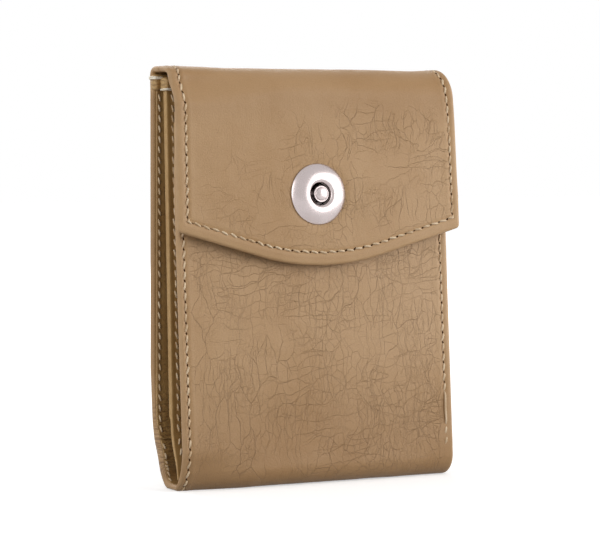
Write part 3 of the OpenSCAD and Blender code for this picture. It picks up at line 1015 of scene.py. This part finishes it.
lay_strip("cover_", 0, "outer_leather", OUTER, 0.0, on_cover, cover_thick, LEAF_RIM, FINE_MARGIN,
          cover_crackle, cover_relief, seats=SEATS)
lay_strip("lining_", 1, "inner_leather", INNER, LINING_INSET, inside_cover, LINING_T, THIN_RIM, 2.6,
          lining_crackle, lining_relief)


# Pockets, card slots and the middle leaf

def on_back(x, z):
    """How far the swollen fold pushes the back pocket's foot forwards."""
    s = back_s(z)
    return cover_thick(s) * (swollen(x, s) - 1)


def panel_relief(x, v, edge):
    """Slow swells and the pull of a seam near a panel's edge."""
    pull = 0.5 * GROOVE_DEPTH * bell(edge, 1.6, 0.45)
    return 0.06 * field(x, v, 13.0, 51.0) * smooth(0.5, 6.0, edge) - pull


def panel(name, node, from_front, body, like, rim=THIN_RIM, corner=2.0, margin=2.6, wider=0.0, lower=0.0,
          forward=unmoved, fields=(), material=INNER, relief=panel_relief, slot="inner_leather"):
    """A flat leather panel in the place of a node. Returns its place function, half width and height.

    The place function takes x, the height above the lower edge and the depth behind the face that is seen.
    """
    plane = Plane(node, like)
    half = box_mm(node)[1][0] + wider

    def place(x, v, n):
        y, z = plane.at(n if from_front else plane.thickness - n, v)
        return settled(x, y - forward(np.asarray(x), z), z)
    obj = leather_sheet(name, material, half, (-lower, plane.length), place, plane.thickness, rim, margin,
                        lining_crackle, relief, corner=corner, fields=fields)
    finish_piece(obj, slot, [node], body)
    return place, half, plane.length


def pocket_pucker(x, v, edge):
    """The gathers that run up from the bottom fold into the back pocket."""
    return (1 - smooth(6, 18, v)) * (1 - smooth(3.0, 9.0, BACK_HALF - np.abs(x)))


def pocket_tone(x, v, edge):
    """The back pocket's sides carry on the burnished edge of the leaf."""
    return 0.42 * smooth(-4, 30, v) * (1 - smooth(0.6, 1.9, box_mm("back_pocket")[1][0] + 0.3 - np.abs(x)))


BACK_POCKET = panel("pocket_back", "back_pocket", True, "back_leaf", Plane("back_cover"), wider=0.3,
                    forward=on_back, fields=[("pucker", pocket_pucker), ("tone", pocket_tone)])
FRONT_POCKET = panel("pocket_front", "front_pocket", False, "front_leaf", FRONT, wider=-1.2)
for level in ("high", "mid", "low"):
    panel("slot_" + level, "card_slot_" + level, False, "front_leaf", FRONT, 0.25, wider=-0.6)
PAGE_FRONT = panel("page_front_leather", "page_front", True, "middle_leaf", PAGE, 0.45, 0.6, lower=0.6,
                   forward=page_back)
panel("page_back_leather", "page_back", False, "middle_leaf", PAGE, 0.45, 0.6, lower=0.6, forward=page_back)
panel("board_page", "page_board", True, "middle_leaf", PAGE, 0.12, 1.5, 1.0, forward=page_back,
      material=BOARD, relief=None, slot="board")
PAGE_POCKET = panel("pocket_page", "page_pocket", False, "middle_leaf", PAGE, forward=page_back)


def hem_relief(x, v, edge):
    """The soft lumps of a thick folded hem."""
    return 0.12 * field(x, v, 3.0, 61.0)


def hem_pucker(x, v, edge):
    """Folds at the ends of a hem, where it is tacked."""
    return 0.7 * smooth(40, 45, np.abs(x))


def hem(name, nodes, body, half, low, high, front, lean, thick, forward=unmoved):
    """The thick folded hem that wraps a leaf's upper edge from its front face to its back."""
    def place(x, v, n):
        return settled(x, front + lean * (v - low) + n - forward(x, v), v)
    obj = leather_sheet(name, INNER, half, (low, high), place, thick, HEM_RIM, HEM_RIM + 1.0, lining_crackle,
                        hem_relief, corner=HEM_RIM, fields=[("pucker", hem_pucker)])
    finish_piece(obj, "inner_leather", nodes, body)


BACK_HEM = box_mm("back_pocket_hem")
PAGE_HEM = box_mm("page_hem_front")
hem("hem_pocket_back", ["back_pocket_hem"], "back_leaf", BACK_HALF + 0.35, BACK_HEM[0][2], 120.7,
    BACK_HEM[0][1] - 0.2, 0.0, REAR_Y - 0.3 - (BACK_HEM[0][1] - 0.2))
hem("hem_page", ["page_hem_front", "page_hem_back"], "middle_leaf", box_mm("page_front")[1][0] + 0.6,
    PAGE_HEM[0][2], PAGE_HEM[1][2] + 0.2, PAGE_HEM[0][1], PAGE_HEM_LEAN, PAGE_HEM_T, page_back)


def hinge_strip():
    """The leather strip that joins the middle leaf to the bottom fold, on the arc of its node.

    Returns place functions behind its two faces, and the run of its bend.
    """
    points = side_points("page_hinge_strip")
    corners = np.unique(points.round(3), axis=0)
    corners = corners[corners[:, 1].argsort()]
    foot, head = corners[:2], corners[-2:]
    reach = np.linalg.solve(np.stack([foot[1] - foot[0], head[0] - head[1]], 1), head[0] - foot[0])
    centre = foot[0] + reach[0] * (foot[1] - foot[0])
    radii = np.hypot(*(points - centre).T)
    angles = np.arctan2(points[:, 1] - centre[1], points[:, 0] - centre[0])
    outer, thick = radii.max(), np.ptp(radii)
    length = outer * np.ptp(angles)

    def place(x, s, n):
        angle = angles.max() - s / outer
        radius = outer - n + 0.5 * smooth(0.6 * length, 0.0, s) * (1 - n / thick)
        z = centre[1] + radius * np.sin(angle)
        return settled(x, centre[0] + radius * np.cos(angle) - page_back(x, z), z)
    half = box_mm("page_hinge_strip")[1][0]
    obj = leather_sheet("page_hinge_leather", INNER, half, (0.0, length), place, thick, THIN_RIM, 1.6,
                        lining_crackle, panel_relief)
    bend = (length * 0.15, length * 0.85)
    finish_piece(obj, "inner_leather", ["page_hinge_strip"], ("middle_leaf", "bottom"), bend, place)
    return place, lambda x, s, n: place(x, s, thick - n), bend


HINGE_FRONT, HINGE_BACK, HINGE_BEND = hinge_strip()


# Thread

def sew(name, path, place, bodies, bend=None, bend_place=on_cover):
    """A row of stitches and its needle holes, attached to one body, or baked in place where it spans two."""
    for obj in stitch_row("stitches_" + name, path, place):
        finish_piece(obj, "inner_leather", [], bodies, bend, bend_place)


def sew_sides(name, panel_facts, left, right, low, high, body):
    """The two side rows of a panel."""
    place, _, length = panel_facts
    sew(name + "_left", straight_path(left, low, length - high), place, body)
    sew(name + "_right", straight_path(right, low, length - high), place, body)


def fold_seam(sign):
    """The side row where it runs on down the lining, below the back pocket."""
    stations = np.linspace(S_BASE_REAR - 2, back_s(box_mm("back_pocket")[0][2]) - 0.6, 24)
    return Path([(sign * min(float(cover_half(s)) - 1.3, BACK_SEAM_X), s) for s in stations])


BACK_SEAM_X = BACK_POCKET[1] - 0.95
PAGE_SEAM_X = PAGE_FRONT[1] - 2.0
sew("flap", FLAP_SEAM, on_cover, *TOP_BEND)
sew("front_left", FRONT_LEFT, on_cover, *FRONT_BEND)
sew("front_right", FRONT_RIGHT, on_cover, *FRONT_BEND)
sew("back_left", BACK_LEFT, on_cover, *REAR_BEND)
sew("back_right", BACK_RIGHT, on_cover, *REAR_BEND)
sew_sides("pocket_back", BACK_POCKET, -BACK_SEAM_X, BACK_SEAM_X, 1.5, 4.2, "back_leaf")
sew_sides("pocket_front", FRONT_POCKET, FRONT_SEAM_LEFT, FRONT_SEAM_RIGHT, 1.5, 1.5, "front_leaf")
sew_sides("page_front", PAGE_FRONT, -PAGE_SEAM_X, PAGE_SEAM_X, 0.5, 4.4, "middle_leaf")
for side, sign in SIDES:
    sew("hinge_" + side, straight_path(sign * PAGE_SEAM_X, 0.4, 6.6), HINGE_BACK, ("middle_leaf", "bottom"),
        HINGE_BEND, HINGE_FRONT)
sew_sides("page_back", PAGE_POCKET, -PAGE_SEAM_X, PAGE_SEAM_X, 2.0, 4.4, "middle_leaf")
for side, sign in SIDES:
    sew("fold_" + side, fold_seam(sign), inside_cover, *REAR_BEND)


def edge_tack(name, place, half, sign, level, reach, front, back, body, radius, rise):
    """Two close turns of thread that wrap an edge at one level, from depth front round to depth back."""
    bend = np.linspace(-QUARTER, QUARTER, 15)[1:-1]
    middle, depth = (front + back) / 2, (back - front) / 2 + 0.6 * radius
    x = np.concatenate([np.linspace(half - reach, half - 0.7, 6), half - 0.55 + 0.75 * np.cos(bend),
                        np.linspace(half - 0.7, half - reach, 6)])
    n = np.concatenate([np.full(6, middle - depth), middle + depth * np.sin(bend),
                        np.full(6, middle + depth)])
    n[0], n[-1] = front + 0.5, back - 0.5
    lines, ups = [], []
    for turn in (0, 1):
        tilt = 0.12 * math.sin(2.1 * turn + half)
        height = level + rise * (turn - 0.5) + tilt * np.linspace(-1, 1, len(x))
        lines.append(np.stack(place(sign * x, height, n), -1))
        ups.append(np.stack(place(sign * x, height + 1, n), -1) - lines[-1])
    obj = tube_set(name, np.array(lines), np.array(ups), np.full(len(x), radius), WHITE_THREAD, 9.0)
    finish_piece(obj, "inner_leather", [], body)


def on_back_leaf(x, z, n):
    """World place behind the back leaf: n runs forwards from its outer face."""
    return np.broadcast_arrays(x, REAR_Y - n, z)


HEM_PLANE = Plane("page_hem_front", PAGE)
PAGE_REAR = Plane("page_pocket", PAGE)
PAGE_THICK = (PAGE_REAR.origin - PAGE.origin) @ PAGE.inward + PAGE_REAR.thickness
for side, sign in SIDES:
    edge_tack("tack_back_" + side, on_back_leaf, BACK_HALF + 0.5, sign, WALLET_H - TACK_DROP, 3.0, 0.15,
              REAR_Y - BACK_HEM[0][1] + 0.2, "back_leaf", 0.21, 0.46)
    edge_tack("tack_page_" + side, on_page, PAGE_FRONT[1] + 0.5, sign, PAGE.length - HEM_PLANE.length + 0.3,
              2.0, -HEM_PLANE.thickness, PAGE_THICK + HEM_PLANE.thickness + 0.2, "middle_leaf", 0.14, 0.28)


def long_stitch():
    """One long loose stitch over the front leaf's right row, where it was sewn back."""
    path = Path([(FRONT_SEAM_RIGHT, front_s(19.4)), (FRONT_SEAM_RIGHT - 0.15, front_s(14.0)),
                 (FRONT_SEAM_RIGHT + 0.1, front_s(9.0))])
    t = np.linspace(0, 1, 24)
    x, s = path.at(t * path.length)
    depth = 0.45 - 0.8 * np.minimum(1, 9 * np.minimum(t, 1 - t))
    radii = STITCH_RADIUS * (0.75 + 0.25 * np.sin(math.pi * t))
    obj = tube_set("back_tack_thread", np.stack(on_cover(x, s, depth), -1)[None],
                   way_out(on_cover, x, s)[None], radii, THREAD, 22.0)
    finish_piece(obj, "inner_leather", [], *FRONT_BEND)


long_stitch()
sew("front_end", straight_path(FRONT_SEAM_RIGHT, front_s(9.0), front_s(2.8)), on_cover, *FRONT_BEND)


# The snap

ACROSS = np.array([1.0, 0, 0])
OUTWARD = -np.array([0.0, *FLAP.inward])
UPWARD = np.array([0.0, *FLAP.up])
FACE_DROP = (np.array([0.0, *FLAP.origin]) - SNAP_CENTRE) @ OUTWARD
FRONT_FACE = np.array([0.0, *(FRONT.origin - FLAP.origin)]) @ OUTWARD


def turned(name, outline, node, body, aside=0.0):
    """A nickel part turned about the snap's axis or beside it. outline: (radius, height above the flap)."""
    angle = circle(SNAP_SEGMENTS)[:, None]
    points, rings = [], []
    for radius, height in outline:
        centre = SNAP_CENTRE + OUTWARD * (FACE_DROP + height) + ACROSS * aside
        ring = centre + radius * (np.cos(angle) * ACROSS + np.sin(angle) * UPWARD) if radius else centre[None]
        rings.append(np.resize(len(points) + np.arange(len(ring)), SNAP_SEGMENTS))
        points += list(ring)
    if outline[0][0] and outline[-1][0]:
        rings.append(rings[0])
    quads = [np.stack([a, b, np.roll(b, -1), np.roll(a, -1)], -1) for a, b in zip(rings, rings[1:])]
    faces = [list(dict.fromkeys(face)) for face in np.concatenate(quads).tolist()]
    finish_piece(new_object(name, np.array(points), faces, NICKEL), "nickel", [node], body)


def snap_cap_outline():
    """A dome, rolled in round its hole and tucked under at its rim."""
    rim, hole, crown, top_at = 9.0, 3.4, 1.85, 4.5
    dome = [(r, crown * (1 - ((r - top_at) / (rim - top_at)) ** 2.0) ** 0.92 + 0.02)
            for r in np.linspace(top_at, rim - 0.02, 26)]
    lip = [(hole, -0.4), (hole, 1.0), (hole + 0.03, 1.25)] + [
        (hole + (top_at - hole) * t, 1.25 + (crown - 1.23) * math.sin(t * QUARTER) ** 0.6)
        for t in np.linspace(0.08, 0.94, 10)]
    tuck = [(rim + 0.02, -0.05), (rim - 0.1, -0.1), (rim - 0.5, -0.1), (hole + 0.5, -0.1), (hole + 0.4, -0.4)]
    return lip + dome + tuck


def stud_outline(foot):
    """The stud: a plate, a tube-like post and a domed head with a groove round it."""
    top = 1.75
    dome = [(r, top - 0.36 * (1 - math.cos(r / 1.8 * QUARTER))) for r in np.linspace(0.25, 1.8, 9)]
    return [(0, top)] + dome + [(1.86, top - 0.5), (1.92, top - 0.66), (2.04, top - 0.7), (2.16, top - 0.6),
                   (2.3, top - 0.58), (2.42, top - 0.68), (2.46, top - 0.86), (2.46, -0.9), (2.6, foot + 0.6),
                   (7.35, foot + 0.6), (7.5, foot + 0.45), (7.5, foot), (1.5, foot), (1.5, foot - 1.6),
                   (0, foot - 1.6)]


turned("snap_ring", snap_cap_outline(), "snap_cap", "flap")
turned("snap_post", stud_outline(FRONT_FACE), "snap_stud", "front_leaf", POST_SHIFT)


# The imported nodes that stay in view

# The snap's barrel, socket and washer wear the darker nickel as painted shade.
for node, material in (("snap_barrel", NICKEL_PAINTED_SHADE), ("snap_socket", NICKEL_PAINTED_SHADE),
                       ("stud_washer", NICKEL_PAINTED_SHADE), ("snap_magnet", MAGNET), ("back_board", BOARD),
                       ("front_board", BOARD)):
    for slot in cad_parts[node].material_slots:
        slot.material = material


# Stage, light and camera

def add_area(name, place, aim, size, watts):
    """A soft lamp that looks from place at aim."""
    lamp = bpy.data.lights.new(name, "AREA")
    lamp.shape = "RECTANGLE"
    lamp.size, lamp.size_y = size
    lamp.energy = watts
    obj = bpy.data.objects.new(name, lamp)
    bpy.context.scene.collection.objects.link(obj)
    obj.location = place
    obj.rotation_euler = (Vector(aim) - Vector(place)).to_track_quat("-Z", "Y").to_euler()


def add_floor():
    """A pale floor that keeps the wallet's shadow and is white where nothing shades it."""
    m = Shader(bpy.data.materials.new("floor"))
    path = m.node("ShaderNodeLightPath")
    place = m.object_place()
    mottle = m.noise(place, 30.0, 2.0, 0.5, "3D")
    seen = m.math("MAXIMUM", path.outputs["Is Camera Ray"], path.outputs["Is Glossy Ray"])
    pale = m.mix(mottle, (0.86, 0.86, 0.86, 1.0), (0.88, 0.88, 0.88, 1.0))
    away = m.node("ShaderNodeVectorMath", [("operation", "LENGTH")])
    m.put(away.inputs[0], place)
    glow = m.ramp(away.outputs["Value"], 0.2, 1.3, 0.42, 0.71)
    m.set(Base_Color=m.mix(seen, (0.30, 0.30, 0.30, 1.0), pale), Roughness=0.9, Specular_IOR_Level=0.0,
          Emission_Color=(1.0, 1.0, 1.0, 1.0), Emission_Strength=m.times(seen, glow))
    reach = 3000.0
    points = np.array([(-reach, -reach, 0), (reach, -reach, 0), (reach, reach, 0), (-reach, reach, 0)])
    floor = new_object("floor", points, [[0, 1, 2, 3]], m.owner, closed=False)


def set_world():
    """White to the camera and in reflections, and soft pale light from all round."""
    m = Shader(bpy.data.worlds.new("world"))
    bpy.context.scene.world = m.owner
    path = m.node("ShaderNodeLightPath").outputs
    light = m.tree.nodes["Background"]
    m.fill(light, {"Color": (0.96, 0.98, 1.0, 1.0), "Strength": 0.38})
    white = m.node("ShaderNodeBackground", Color=(1.0, 1.0, 1.0, 1.0), Strength=1.0)
    seen = m.math("MAXIMUM", path["Is Camera Ray"], path["Is Glossy Ray"])
    mix = m.node("ShaderNodeMixShader", Fac=m.math("MAXIMUM", seen, path["Is Transmission Ray"]))
    m.put(mix.inputs[1], light.outputs[0])
    m.put(mix.inputs[2], white.outputs[0])
    m.put(m.tree.nodes["World Output"].inputs["Surface"], mix.outputs[0])


def set_camera():
    """The photograph's view."""
    camera = bpy.data.cameras.new("camera")
    camera.lens = VIEW_LENS
    camera.sensor_width = 36
    camera.clip_start = 0.01
    camera.clip_end = 20
    obj = bpy.data.objects.new("camera", camera)
    bpy.context.scene.collection.objects.link(obj)
    obj.matrix_world = (Matrix.Translation(Vector(VIEW_TARGET) * MM)
                        @ Matrix.Rotation(math.radians(VIEW_AZIMUTH), 4, "Z")
                        @ Matrix.Rotation(math.radians(90 - VIEW_ELEVATION), 4, "X")
                        @ Matrix.Rotation(math.radians(VIEW_ROLL), 4, "Z")
                        @ Matrix.Translation((0, 0, VIEW_DISTANCE * MM)))
    bpy.context.scene.camera = obj


set_world()
add_floor()
set_camera()
for lamp in (("key", (0.66, -0.62, 0.24), (0, 0, 0.07), (0.8, 0.7), 6.9),
             ("side", (0.98, -0.16, 0.20), (0, 0, 0.06), (0.7, 0.7), 2.1),
             ("fill", (-1.00, -0.20, 0.36), (0, 0, 0.06), (1.1, 1.0), 6.6),
             ("rear", (0.10, 1.00, 0.60), (0, 0, 0.06), (1.0, 0.8), 6.0)):
    add_area(*lamp)
bpy.context.scene.view_settings.view_transform = "Standard"
